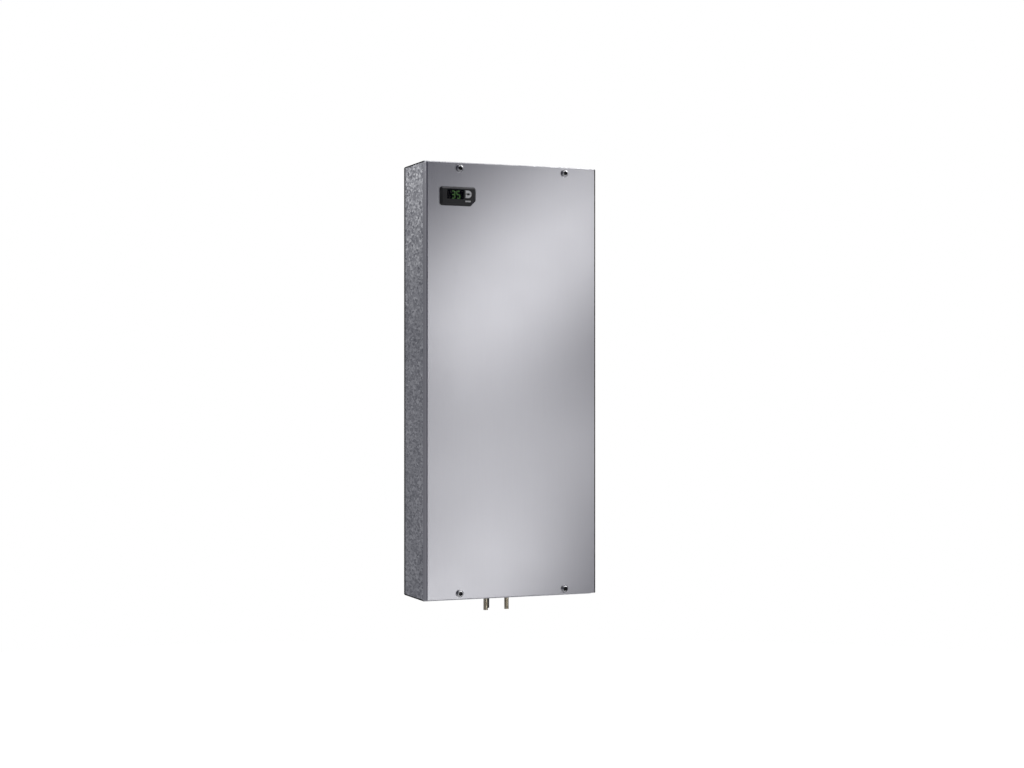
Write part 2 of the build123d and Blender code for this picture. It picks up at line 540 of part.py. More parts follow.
B_U0, B_U1, B_V0, B_V1 = 16.5, 29.0, -12.3, -9.3
bar = Pos((B_U0 + B_U1) / 2, (B_V0 + B_V1) / 2)
bez -= slab(Pos(XC, ZC) * (d_shape(0.3) - island(0.0)), -156, -150)
bez -= slab(Pos(XC, ZC) * bar * RectangleRounded(B_U1 - B_U0 + 0.6, B_V1 - B_V0 + 0.6, 1.2), -156, -150)
save("controller_bezel", bez)
save("controller_seal", slab(bezel_face(1.0) - Pos(XC, ZC) * Rectangle(CUT_W + 2, CUT_H + 1), Y_BZ_BACK, Y_FRONT))
save("display_window", slab(Pos(XC + win_u, ZC + win_v) * RectangleRounded(WIN_U1 - WIN_U0 - 0.2, WIN_V1 - WIN_V0 - 0.2, 1.1),
                            -152.3, -151.0))
save("display_module", box(XC + WIN_U0 + 0.6, XC + WIN_U1 - 0.6, -150.4, -147.4, ZC + WIN_V0 + 0.6, ZC + WIN_V1 - 0.6))

DG_W, DG_H, DG_T, DG_GAP = 8.8, 17.0, 1.9, 0.3
segs = []


def segment(u, v, long, upright):
    k = DG_T / 2
    half = long / 2 - DG_GAP
    p = [(-half, 0), (-half + k, k), (half - k, k), (half, 0), (half - k, -k), (-half + k, -k)]
    if upright:
        p = [(b, a) for a, b in p]
    return slab(Pos(XC + u, ZC + v) * make_face(Polyline(*p, close=True)), -150.75, -150.4)


def digit(u, v, on_list):
    w, hh = DG_W - DG_T, (DG_H - DG_T) / 2
    places = {"a": (0, hh, w, 0), "g": (0, 0, w, 0), "d": (0, -hh, w, 0),
              "f": (-w / 2, hh / 2, hh, 1), "b": (w / 2, hh / 2, hh, 1),
              "e": (-w / 2, -hh / 2, hh, 1), "c": (w / 2, -hh / 2, hh, 1)}
    for s in on_list:
        du, dv, long, up = places[s]
        segs.append(segment(u + du, v + dv, long, up))


DG_V = 3.0
digit(-10.0, DG_V, "abcdg")
digit(1.3, DG_V, "acdfg")
save("display_segments", *segs)

save("display_board", slab(bezel_face(5.5), -147.4, Y_BZ_BACK - 0.2))
upper = Pos(0, D_V + 50 + 0.25) * Rectangle(200, 100)
lower = Pos(0, D_V - 50 - 0.25) * Rectangle(200, 100)
for name, part in (("key_up", upper), ("key_down", lower)):
    cap = slab(Pos(XC, ZC) * ((d_shape(0.0) & part) - island(0.3)), -154.0, -150.7)
    cap = fillet(cap.faces().sort_by(Axis.Y)[0].edges(), 0.5)
    cap += slab(Pos(XC, ZC) * (d_shape(0.7) & part), -150.7, -150.1)
    save(name, cap)
cap = slab(Pos(XC, ZC) * bar * RectangleRounded(B_U1 - B_U0, B_V1 - B_V0, 0.9), -154.0, -150.7)
cap = fillet(cap.faces().sort_by(Axis.Y)[0].edges(), 0.4)
cap += slab(Pos(XC, ZC) * bar * RectangleRounded(B_U1 - B_U0 + 1.4, B_V1 - B_V0 + 1.2, 1.0), -150.7, -150.1)
save("key_set", cap)
made = []
for u, v in ((23.0, 8.5), (23.0, 0.5), (22.75, -10.8)):
    made.append(box(XC + u - 2.6, XC + u + 2.6, -149.2, -147.4, ZC + v - 2.2, ZC + v + 2.2))
save("key_switches", *made)

case = box(XC - 33.5, XC + 33.5, Y_BZ_BACK, -85, ZC - 15.5, ZC + 15.5)
case = fillet(case.edges().filter_by(Axis.Y), 1.2)
case -= box(XC - 31.7, XC + 31.7, Y_BZ_BACK - 1, -86.8, ZC - 13.7, ZC + 13.7)
save("controller_case", case)
made = []
for s in (-1, 1):
    c = box(min(s * 33.6, s * 39.5), max(s * 33.6, s * 39.5), -143.5, -120, -8, 8)
    c -= box(min(s * 35.2, s * 45), max(s * 35.2, s * 45), -139, -124, -9, 9)
    made.append(Pos(XC, 0, ZC) * c)
save("controller_clips", *made)

# ================================================================ electrics
tb = box(90, 140, -38, -1.5, -440, -405)
tb = chamfer(tb.faces().sort_by(Axis.Y)[0].edges(), 2.0)
for k in range(5):
    x = 95 + 10 * k
    tb -= rod("Y", x, -422, 3.2, -39, -30)
    tb -= box(x - 3.2, x + 3.2, -39, -26, -438, -430)
    tb -= box(x - 3.2, x + 3.2, -39, -26, -415, -408)
save("terminal_block", tb)
gr = rod("Y", GX, GZ, 14, 0, 2.0) + rod("Y", GX, GZ, 10.9, -T, 0) + rod("Y", GX, GZ, 14, -4.0, -T)
gr = fillet(gr.edges().filter_by(GeomType.CIRCLE).group_by(Axis.Y)[-1], 0.9)
save("cable_grommet", gr - rod("Y", GX, GZ, 7.0, -9, 9))

sens = rod("X", -9, 350, 3.0, -60, -30)
sens = fillet(sens.edges().filter_by(GeomType.CIRCLE).group_by(Axis.X)[-1], 2.0)
save("temperature_sensor", sens)
sc = box(-52, -42, -13.5, -1.5, 345.0, 355.0)
save("sensor_clip", sc - rod("X", -9, 350, 3.03, -60, -30))

feed = pipe([(100, -9, -405), (100, -9, -378), (-191, -9, -378), (-191, -9, ZC), (-150, -9, ZC), (-150, -85, ZC)],
            [18, 18, 18, 18], 3.0)
fan_lead = pipe([(0, -90.5, ZF + 46.2), (0, -90.5, ZC), (XC + 33.5, -90.5, ZC)], [40], 2.5)
sensor_lead = pipe([(-60, -9, 350), (-115, -9, 350), (-115, -9, ZC + 6), (-115, -85, ZC + 6)], [20, 20], 1.8)
valve_lead = pipe([(VX + 38, VY, -399), (42, VY, -399), (62, -20, -418), (90, -20, -418)], [14, 14], 2.5)
save("wiring", feed, fan_lead, sensor_lead, valve_lead)
made = []
for z in (-230.0, 60.0, 300.0):
    c = box(-195.5, -186.5, -13.5, -1.5, z - 4, z + 4)
    made.append(c - rod("Z", -191, -9, 3.03, z - 6, z + 6))
save("cable_clips", *made)
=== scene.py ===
"""Looks of a wall-mounted air/water heat exchanger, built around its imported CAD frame."""
import math

import bmesh
import bpy
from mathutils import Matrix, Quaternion, Vector

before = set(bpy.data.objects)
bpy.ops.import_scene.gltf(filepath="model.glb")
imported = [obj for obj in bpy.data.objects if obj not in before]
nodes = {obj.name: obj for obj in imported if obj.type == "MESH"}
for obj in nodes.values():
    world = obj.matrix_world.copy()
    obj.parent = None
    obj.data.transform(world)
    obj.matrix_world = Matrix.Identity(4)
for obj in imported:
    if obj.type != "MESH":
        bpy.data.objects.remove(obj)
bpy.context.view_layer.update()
scene = bpy.context.scene


# ------------------------------------------------------------------ node helpers
class Finish:
    """One Principled material whose patterns come from object coordinates, in metres."""

    def __init__(self, name, colour, metallic=0.0, rough=0.5, **sockets):
        self.mat = bpy.data.materials.new(name)
        self.mat.use_nodes = True
        self.mat.diffuse_color = (*colour, 1.0)
        self.tree = self.mat.node_tree
        self.bsdf = next(n for n in self.tree.nodes if n.type == "BSDF_PRINCIPLED")
        self.bsdf.inputs["Base Color"].default_value = (*colour, 1.0)
        self.bsdf.inputs["Metallic"].default_value = metallic
        self.bsdf.inputs["Roughness"].default_value = rough
        for key, value in sockets.items():
            self.bsdf.inputs[key.replace("_", " ")].default_value = value
        self.coord = self.node("ShaderNodeTexCoord").outputs["Object"]

    def node(self, kind, **attrs):
        n = self.tree.nodes.new(kind)
        for key, value in attrs.items():
            setattr(n, key, value)
        return n

    def link(self, a, b):
        self.tree.links.new(a, b)

    def put(self, n, socket, value):
        if isinstance(value, bpy.types.NodeSocket):
            self.link(value, n.inputs[socket])
        else:
            n.inputs[socket].default_value = value

    def stretch(self, scale, vector=None):
        n = self.node("ShaderNodeMapping")
        self.put(n, "Vector", vector or self.coord)
        n.inputs["Scale"].default_value = scale
        return n.outputs["Vector"]

    def noise(self, scale, detail=2.0, rough=0.5, distort=0.0, vector=None, out="Fac"):
        n = self.node("ShaderNodeTexNoise")
        self.put(n, "Vector", vector or self.coord)
        n.inputs["Scale"].default_value = scale
        n.inputs["Detail"].default_value = detail
        n.inputs["Roughness"].default_value = rough
        n.inputs["Distortion"].default_value = distort
        return n.outputs[out]

    def cells(self, scale, vector=None, feature="F1"):
        n = self.node("ShaderNodeTexVoronoi", feature=feature)
        self.put(n, "Vector", vector or self.coord)
        n.inputs["Scale"].default_value = scale
        return n

    def split(self, colour):
        n = self.node("ShaderNodeSeparateColor")
        self.link(colour, n.inputs[0])
        return n.outputs

    def xyz(self, vector=None):
        n = self.node("ShaderNodeSeparateXYZ")
        self.link(vector or self.coord, n.inputs[0])
        return n.outputs

    def math(self, op, a, b=0.0, clamp=False):
        n = self.node("ShaderNodeMath", operation=op, use_clamp=clamp)
        self.put(n, 0, a)
        self.put(n, 1, b)
        return n.outputs[0]

    def vec(self, op, a, b=None, scale=None):
        n = self.node("ShaderNodeVectorMath", operation=op)
        self.put(n, 0, a)
        if b is not None:
            self.put(n, 1, b)
        if scale is not None:
            self.put(n, "Scale", scale)
        return n.outputs["Vector"]

    def span(self, value, low, high, a=0.0, b=1.0):
        n = self.node("ShaderNodeMapRange")
        self.put(n, "Value", value)
        n.inputs["From Min"].default_value = a
        n.inputs["From Max"].default_value = b
        n.inputs["To Min"].default_value = low
        n.inputs["To Max"].default_value = high
        return n.outputs["Result"]

    def ramp(self, value, *stops):
        n = self.node("ShaderNodeValToRGB")
        self.put(n, "Fac", value)
        e = n.color_ramp.elements
        while len(e) < len(stops):
            e.new(0.5)
        for k, (at, colour) in enumerate(stops):
            e[k].position = at
            e[k].color = (*colour, 1.0)
        return n.outputs["Color"]

    def mix(self, fac, a, b, blend="MIX"):
        n = self.node("ShaderNodeMix", data_type="RGBA", blend_type=blend)
        self.put(n, 0, fac)
        self.link(a, n.inputs[6]) if isinstance(a, bpy.types.NodeSocket) else setattr(n.inputs[6], "default_value", (*a, 1.0))
        self.link(b, n.inputs[7]) if isinstance(b, bpy.types.NodeSocket) else setattr(n.inputs[7], "default_value", (*b, 1.0))
        return n.outputs[2]

    def bump(self, height, strength, distance, normal=None):
        n = self.node("ShaderNodeBump")
        self.put(n, "Height", height)
        n.inputs["Strength"].default_value = strength
        n.inputs["Distance"].default_value = distance
        if normal is not None:
            self.link(normal, n.inputs["Normal"])
        return n.outputs["Normal"]

    def edges(self, size=0.004):
        """1 near sharp edges, 0 on open faces, from the surface's own bevelled normal."""
        bevel = self.node("ShaderNodeBevel", samples=4)
        bevel.inputs["Radius"].default_value = size
        geo = self.node("ShaderNodeNewGeometry")
        n = self.node("ShaderNodeVectorMath", operation="DOT_PRODUCT")
        self.link(bevel.outputs[0], n.inputs[0])
        self.link(geo.outputs["Normal"], n.inputs[1])
        return self.span(n.outputs["Value"], 1.0, 0.0, 0.75, 0.995)

    def set(self, **sockets):
        for key, value in sockets.items():
            self.put(self.bsdf, key.replace("_", " "), value)
        return self.mat


# ------------------------------------------------------------------ metals
def galvanised():
    f = Finish("galvanised_spangle", (0.60, 0.61, 0.64), 1.0, 0.4)
    warp = f.vec("SCALE", f.vec("SUBTRACT", f.noise(110, 3, 0.6, out="Color"), (0.5, 0.5, 0.5)), scale=0.007)
    where = f.stretch((1.0, 0.42, 1.0), f.vec("ADD", f.coord, warp))   # crystals drawn out across the sheet
    flake = f.cells(250, where)
    small = f.cells(520, where)
    tone = f.split(flake.outputs["Color"])
    chip = f.split(small.outputs["Color"])
    turn = f.node("ShaderNodeVectorRotate", rotation_type="AXIS_ANGLE")
    f.put(turn, "Vector", where)
    turn.inputs["Axis"].default_value = (0.6, 0.5, 0.62)
    f.put(turn, "Angle", f.math("MULTIPLY", tone[1], 6.283))
    fern = f.noise(900, 3, 0.6, 0.6, f.stretch((1.0, 1.0, 0.22), turn.outputs[0]))
    frost = f.noise(2400, 2, 0.5)
    haze = f.noise(5.0, 3, 0.55)
    value = f.math("ADD", f.math("MULTIPLY", tone[0], 0.50), f.math("MULTIPLY", chip[0], 0.25))
    value = f.math("ADD", value, f.math("MULTIPLY", fern, 0.40))
    value = f.math("ADD", value, f.span(haze, -0.12, 0.10, 0.3, 0.7))
    colour = f.ramp(value, (0.12, (0.29, 0.295, 0.32)), (0.45, (0.51, 0.515, 0.54)), (0.78, (0.77, 0.775, 0.79)), (1.0, (0.93, 0.935, 0.945)))
    rough = f.math("ADD", f.span(tone[2], 0.30, 0.54), f.span(frost, -0.05, 0.05))
    geo = f.node("ShaderNodeNewGeometry")
    face = f.xyz(geo.outputs["Normal"])
    painted_shade_bend = f.math("ABSOLUTE", f.math("MULTIPLY", face[0], face[2]))
    painted_shade_bend = f.span(painted_shade_bend, 0.0, 1.0, 0.01, 0.08)                         # painted shade: the coat is drawn near-black along the tight corner bends, standing in for the dark room they mirror
    colour = f.mix(painted_shade_bend, colour, f.ramp(frost, (0.3, (0.012, 0.012, 0.013)), (0.7, (0.026, 0.026, 0.028))))
    tilt = f.vec("SCALE", f.vec("SUBTRACT", flake.outputs["Color"], (0.5, 0.5, 0.5)), scale=0.09)
    lean = f.vec("SCALE", f.vec("SUBTRACT", small.outputs["Color"], (0.5, 0.5, 0.5)), scale=0.05)
    facet = f.vec("NORMALIZE", f.vec("ADD", geo.outputs["Normal"], f.vec("ADD", tilt, lean)))
    normal = f.bump(f.math("ADD", fern, f.math("MULTIPLY", frost, 0.4)), 0.10, 0.0004, facet)
    plain = f.math("SUBTRACT", 1.0, painted_shade_bend)
    return f.set(Base_Color=colour, Metallic=plain, Specular_IOR_Level=f.math("MULTIPLY", plain, 0.5), Roughness=rough, Normal=normal)


def stainless():
    f = Finish("stainless_satin", (0.60, 0.60, 0.61), 1.0, 0.3)
    grain = f.noise(1500, 3, 0.6, 0.0, f.stretch((1.0, 1.0, 0.012)))
    fine = f.noise(5200, 2, 0.5, 0.0, f.stretch((1.0, 1.0, 0.03)))
    cloud = f.noise(3.2, 3, 0.55)
    hand = f.noise(17, 4, 0.6, 0.5)
    value = f.math("ADD", f.math("MULTIPLY", grain, 0.5), f.math("MULTIPLY", cloud, 0.5))
    colour = f.ramp(value, (0.25, (0.580, 0.577, 0.602)), (0.75, (0.622, 0.619, 0.645)))
    rough = f.math("ADD", f.span(grain, 0.312, 0.332, 0.25, 0.75), f.span(hand, -0.006, 0.008, 0.3, 0.7))
    normal = f.bump(f.math("ADD", grain, f.math("MULTIPLY", fine, 0.5)), 0.008, 0.00004)
    face = f.xyz(f.node("ShaderNodeNewGeometry").outputs["Normal"])
    painted_shade_bend = f.span(f.math("MULTIPLY", face[0], f.math("ABSOLUTE", face[1])), 0.0, 0.96, 0.01, 0.07)   # painted shade: near-black colour along the bend on the +x side of the cover
    colour = f.mix(painted_shade_bend, colour, f.ramp(hand, (0.3, (0.012, 0.012, 0.013)), (0.7, (0.024, 0.024, 0.026))))
    plain = f.math("SUBTRACT", 1.0, painted_shade_bend)
    return f.set(Base_Color=colour, Metallic=plain, Specular_IOR_Level=f.math("MULTIPLY", plain, 0.5), Roughness=rough, Normal=normal)


def zinc():
    f = Finish("bright_zinc", (0.60, 0.61, 0.63), 1.0, 0.3)
    blotch = f.noise(160, 4, 0.6)
    fine = f.noise(2600, 2, 0.5)
    worn = f.edges(0.0012)
    colour = f.mix(worn, f.ramp(blotch, (0.3, (0.50, 0.51, 0.54)), (0.7, (0.66, 0.665, 0.68))), (0.74, 0.74, 0.745))
    rough = f.math("SUBTRACT", f.span(blotch, 0.25, 0.42, 0.3, 0.7), f.math("MULTIPLY", worn, 0.06))
    return f.set(Base_Color=colour, Roughness=rough, Normal=f.bump(fine, 0.10, 0.0001))


def bright_steel():
    """Polished screws: fine turning rings, a few dull rubs."""
    f = Finish("bright_steel", (0.66, 0.66, 0.67), 1.0, 0.13)
    rub = f.noise(420, 4, 0.62)
    fine = f.noise(3200, 2, 0.5)
    worn = f.edges(0.0010)
    colour = f.mix(worn, f.ramp(rub, (0.3, (0.43, 0.43, 0.44)), (0.7, (0.54, 0.54, 0.55))), (0.66, 0.66, 0.665))
    x, y, z = f.xyz()
    dx = f.math("SUBTRACT", f.math("ABSOLUTE", x), 0.1234)
    dz = f.math("SUBTRACT", f.math("ABSOLUTE", z), 0.4585)
    out = f.math("SQRT", f.math("ADD", f.math("MULTIPLY", dx, dx), f.math("MULTIPLY", dz, dz)))
    painted_socket_shade = f.math("MULTIPLY", f.span(out, 1.0, 0.0, 0.0045, 0.0049), f.span(y, 0.0, 1.0, -0.15177, -0.1514))   # painted shade inside the hex socket
    colour = f.mix(painted_socket_shade, colour, f.ramp(rub, (0.3, (0.018, 0.018, 0.019)), (0.7, (0.05, 0.05, 0.052))))
    rough = f.math("ADD", f.span(rub, 0.10, 0.19, 0.3, 0.7), f.math("MULTIPLY", worn, 0.05))
    rough = f.math("ADD", rough, f.math("MULTIPLY", painted_socket_shade, 0.25))
    return f.set(Base_Color=colour, Roughness=rough, Normal=f.bump(fine, 0.03, 0.0001))


def brass():
    f = Finish("drawn_brass", (0.62, 0.55, 0.40), 1.0, 0.3)
    drawn = f.noise(1700, 3, 0.6, 0.0, f.stretch((1.0, 1.0, 0.03)))
    patch = f.noise(75, 4, 0.62, 0.4)
    speck = f.noise(900, 2, 0.5)
    low = f.span(f.xyz()[2], 1.0, 0.0, -0.509, -0.482)
    dull = f.math("ADD", f.span(patch, 0.0, 0.85, 0.42, 0.75), f.math("MULTIPLY", low, 0.08), clamp=True)
    fresh = f.ramp(drawn, (0.25, (0.60, 0.545, 0.40)), (0.75, (0.74, 0.69, 0.545)))
    colour = f.mix(dull, fresh, f.ramp(speck, (0.3, (0.36, 0.285, 0.17)), (0.7, (0.47, 0.385, 0.245))))
    rough = f.math("ADD", f.span(drawn, 0.15, 0.23, 0.25, 0.75), f.math("MULTIPLY", dull, 0.12))
    return f.set(Base_Color=colour, Roughness=rough, Normal=f.bump(drawn, 0.06, 0.0001))


def copper():
    f = Finish("drawn_copper", (0.72, 0.42, 0.28), 1.0, 0.3)
    patch = f.noise(38, 4, 0.62, 0.5)
    streak = f.noise(700, 3, 0.6)
    colour = f.mix(f.span(patch, 0.0, 1.0, 0.35, 0.72), f.ramp(streak, (0.3, (0.66, 0.36, 0.23)), (0.7, (0.80, 0.50, 0.36))), (0.40, 0.19, 0.12))
    return f.set(Base_Color=colour, Roughness=f.span(patch, 0.22, 0.46, 0.3, 0.7), Normal=f.bump(streak, 0.07, 0.0001))


def aluminium():
    f = Finish("mill_aluminium", (0.76, 0.77, 0.78), 1.0, 0.35)
    rolled = f.noise(1100, 3, 0.6, 0.0, f.stretch((1.0, 1.0, 0.03)))
    cloud = f.noise(42, 3, 0.6)
    value = f.math("ADD", f.math("MULTIPLY", rolled, 0.5), f.math("MULTIPLY", cloud, 0.5))
    colour = f.ramp(value, (0.28, (0.66, 0.67, 0.685)), (0.72, (0.82, 0.825, 0.83)))
    return f.set(Base_Color=colour, Roughness=f.span(cloud, 0.28, 0.46, 0.3, 0.7), Normal=f.bump(rolled, 0.08, 0.0001))


def wire():
    f = Finish("plated_wire", (0.64, 0.645, 0.66), 1.0, 0.18)
    dull = f.noise(60, 4, 0.6)
    fine = f.noise(2200, 2, 0.5)
    colour = f.ramp(dull, (0.3, (0.52, 0.525, 0.545)), (0.7, (0.70, 0.705, 0.72)))
    return f.set(Base_Color=colour, Roughness=f.span(dull, 0.14, 0.30, 0.3, 0.7), Normal=f.bump(fine, 0.06, 0.0001))


def motor():
    f = Finish("motor_paint", (0.028, 0.028, 0.031), 0.0, 0.42)
    peel = f.noise(900, 2, 0.5)
    cloud = f.noise(30, 3, 0.6)
    worn = f.edges(0.0025)
    colour = f.mix(worn, f.ramp(cloud, (0.3, (0.020, 0.020, 0.023)), (0.7, (0.038, 0.038, 0.042))), (0.075, 0.075, 0.08))
    return f.set(Base_Color=colour, Roughness=f.span(cloud, 0.34, 0.50, 0.3, 0.7), Normal=f.bump(peel, 0.18, 0.0003))


# ------------------------------------------------------------------ plastics, rubber, foam
def moulded(name, dark, light, rough=(0.42, 0.56), grain=2600, depth=0.22, edge=None, edge_size=0.0012):
    """Spark-eroded moulded plastic: fine grain, slow cloudiness and rubbed edges."""
    f = Finish(name, light, 0.0, rough[0])
    texture = f.noise(grain, 3, 0.6)
    cloud = f.noise(22, 4, 0.6)
    colour = f.ramp(f.math("ADD", f.math("MULTIPLY", cloud, 0.6), f.math("MULTIPLY", texture, 0.4)), (0.32, dark), (0.68, light))
    if edge:
        colour = f.mix(f.math("MULTIPLY", f.edges(edge_size), 0.8), colour, edge)
    return f.set(Base_Color=colour, Roughness=f.span(texture, *rough, 0.3, 0.7), Normal=f.bump(texture, depth, 0.0002))


def foam():
    f = Finish("closed_cell_foam", (0.022, 0.022, 0.023), 0.0, 0.85)
    pores = f.cells(1300).outputs["Distance"]
    cloud = f.noise(60, 4, 0.65)
    colour = f.mix(f.span(pores, 0.0, 1.0, 0.1, 0.6), f.ramp(cloud, (0.3, (0.012, 0.012, 0.013)), (0.7, (0.026, 0.026, 0.028))), (0.042, 0.042, 0.044))
    return f.set(Base_Color=colour, Roughness=f.span(pores, 0.95, 0.78), Normal=f.bump(pores, 0.5, 0.0006))


def rubber(name="moulded_rubber", dark=(0.013, 0.013, 0.014), light=(0.030, 0.030, 0.031)):
    f = Finish(name, light, 0.0, 0.6)
    bloom = f.noise(90, 5, 0.65)
    fine = f.noise(1800, 3, 0.6)
    colour = f.ramp(bloom, (0.32, dark), (0.70, light))
    return f.set(Base_Color=colour, Roughness=f.span(bloom, 0.50, 0.74, 0.3, 0.7), Normal=f.bump(fine, 0.25, 0.0002))


def window():
    f = Finish("smoked_window", (0.36, 0.35, 0.335), 0.0, 0.06, Transmission_Weight=1.0, IOR=1.49)
    rub = f.noise(240, 4, 0.6)
    hair = f.noise(1700, 3, 0.6, 0.0, f.stretch((0.06, 1.0, 1.0)))
    colour = f.ramp(rub, (0.3, (0.33, 0.322, 0.31)), (0.7, (0.38, 0.37, 0.355)))
    rough = f.math("ADD", f.span(rub, 0.02, 0.07, 0.3, 0.7), f.span(hair, 0.0, 0.03, 0.55, 0.8))
    return f.set(Base_Color=colour, Roughness=rough)


def lit():
    f = Finish("lit_segments", (0.06, 0.16, 0.06), 0.0, 0.4, Emission_Strength=1.0)
    glow = f.noise(520, 3, 0.6)
    colour = f.ramp(glow, (0.3, (0.045, 0.125, 0.045)), (0.7, (0.075, 0.18, 0.065)))
    shine = f.ramp(glow, (0.25, (0.14, 0.31, 0.11)), (0.75, (0.20, 0.42, 0.15)))
    return f.set(Base_Color=colour, Emission_Color=shine)


def board():
    f = Finish("glass_epoxy", (0.02, 0.11, 0.05), 0.0, 0.35)
    weave = f.cells(900, feature="F1").outputs["Distance"]
    cloud = f.noise(45, 3, 0.6)
    colour = f.mix(f.span(weave, 0.0, 0.6, 0.1, 0.6), f.ramp(cloud, (0.3, (0.012, 0.075, 0.035)), (0.7, (0.024, 0.125, 0.058))), (0.03, 0.15, 0.07))
    return f.set(Base_Color=colour, Roughness=f.span(cloud, 0.28, 0.42, 0.3, 0.7), Normal=f.bump(weave, 0.08, 0.0002))


def lacquer(name, dark, light, rough=(0.24, 0.36)):
    """Silver lacquer with fine flake, rubbed lighter on its edges."""
    f = Finish(name, light, 0.55, rough[0])
    flake = f.cells(5200).outputs["Color"]
    rub = f.noise(260, 4, 0.6)
    tone = f.math("ADD", f.math("MULTIPLY", f.split(flake)[0], 0.35), f.math("MULTIPLY", rub, 0.65))
    colour = f.mix(f.math("MULTIPLY", f.edges(0.0007), 0.6), f.ramp(tone, (0.28, dark), (0.72, light)), tuple(min(1.0, c * 1.25) for c in light))
    return f.set(Base_Color=colour, Roughness=f.span(rub, *rough, 0.3, 0.7), Normal=f.bump(f.split(flake)[1], 0.05, 0.0001))


finishes = {
    "galvanised": galvanised(), "stainless": stainless(), "zinc": zinc(), "bright": bright_steel(), "brass": brass(), "copper": copper(),
    "aluminium": aluminium(), "wire": wire(), "motor": motor(), "foam": foam(), "rubber": rubber(),
    "black": moulded("moulded_black", (0.012, 0.012, 0.013), (0.026, 0.026, 0.028), (0.36, 0.52), edge=(0.05, 0.05, 0.053)),
    "bezel": moulded("bezel_black", (0.006, 0.006, 0.007), (0.013, 0.013, 0.015), (0.27, 0.40), 3200, 0.16, (0.030, 0.030, 0.032), 0.0009),
    "nozzle": moulded("nozzle_black", (0.020, 0.020, 0.022), (0.036, 0.036, 0.039), (0.38, 0.55), 1500, 0.25, (0.06, 0.06, 0.065), 0.002),
    "impeller": moulded("glass_filled_grey", (0.050, 0.055, 0.062), (0.092, 0.10, 0.11), (0.45, 0.62), 900, 0.30, (0.15, 0.16, 0.17), 0.002),
    "terminal": moulded("terminal_grey", (0.42, 0.43, 0.42), (0.54, 0.55, 0.54), (0.40, 0.55), 1500, 0.15),
    "window": window(), "lit": lit(), "board": board(),
    "key_silver": lacquer("key_silver", (0.40, 0.40, 0.415), (0.56, 0.56, 0.575)),
    "key_light": lacquer("key_light", (0.36, 0.36, 0.37), (0.48, 0.48, 0.49), (0.32, 0.44)),
    "sheath": rubber("cable_sheath", (0.018, 0.018, 0.02), (0.045, 0.045, 0.048)),
}

worn_by = {
    "galvanised": "casing_wrapper back_panel fan_bracket coil_end_plate_left coil_end_plate_right air_baffle",
    "stainless": "front_cover",
    "bright": "cover_screws cover_washers",
    "zinc": "cover_spacers cover_rivet_nuts mounting_rivet_nuts fan_bearings fan_shaft fan_screws "
            "valve_tube valve_plunger valve_spring valve_nut temperature_sensor",
    "brass": "water_inlet_pipe water_outlet_pipe valve_body union_nuts bleed_valve_body bleed_screw",
    "copper": "coil_tubes coil_return_bends feed_pipe",
    "aluminium": "rivets coil_fins condensate_tray",
    "wire": "fan_guard",
    "motor": "fan_stator rotor_cup",
    "foam": "cover_gasket mounting_gasket",
    "rubber": "pipe_grommets controller_seal cable_grommet",
    "black": "drain_pipe valve_coil valve_plug display_module key_switches controller_case controller_clips sensor_clip cable_clips",
    "bezel": "controller_bezel",
    "nozzle": "inlet_nozzle",
    "impeller": "impeller",
    "terminal": "terminal_block",
    "window": "display_window",
    "lit": "display_segments",
    "board": "display_board",
    "key_silver": "key_up key_down",
    "key_light": "key_set",
    "sheath": "wiring",
}
dressed = set()
for finish, names in worn_by.items():
    for name in names.split():
        slots = nodes[name].material_slots
        if not len(slots):
            nodes[name].data.materials.append(None)
        for s in nodes[name].material_slots:
            s.link = "OBJECT"
            s.material = finishes[finish]
        dressed.add(name)
left = sorted(set(nodes) - dressed)
if left:
    raise RuntimeError("no finish for " + ", ".join(left))


# ------------------------------------------------------------------ floor, light and camera
def floor_disc(z, radius):
    mesh = bpy.data.meshes.new("floor")
    bm = bmesh.new()
    bmesh.ops.create_circle(bm, cap_ends=True, segments=96, radius=radius)
    bm.to_mesh(mesh)
    bm.free()
    o = bpy.data.objects.new("floor", mesh)
    o.location.z = z
    scene.collection.objects.link(o)
    f = Finish("pale_floor", (0.93, 0.93, 0.93), 0.0, 0.9)
    f.set(Base_Color=f.ramp(f.noise(1.5, 3, 0.5), (0.3, (0.925, 0.925, 0.925)), (0.7, (0.945, 0.945, 0.945))))
    f.bsdf.inputs["Specular IOR Level"].default_value = 0.0
    f.bsdf.inputs["Emission Color"].default_value = (1.0, 1.0, 1.0, 1.0)
    f.bsdf.inputs["Emission Strength"].default_value = 0.16
    mesh.materials.append(f.mat)
    o.visible_glossy = o.visible_diffuse = False
    return o


def softbox(name, at, aim, width, height, watts, roll=0.0):
    light = bpy.data.lights.new(name, "AREA")
    light.shape = "RECTANGLE"
    light.size, light.size_y = width, height
    light.energy = watts
    o = bpy.data.objects.new(name, light)
    o.location = at
    o.rotation_mode = "QUATERNION"
    o.rotation_quaternion = (Vector(aim) - Vector(at)).to_track_quat("-Z", "Y") @ Quaternion((0, 0, 1), math.radians(roll))
    o.visible_camera = False
    scene.collection.objects.link(o)
    return o


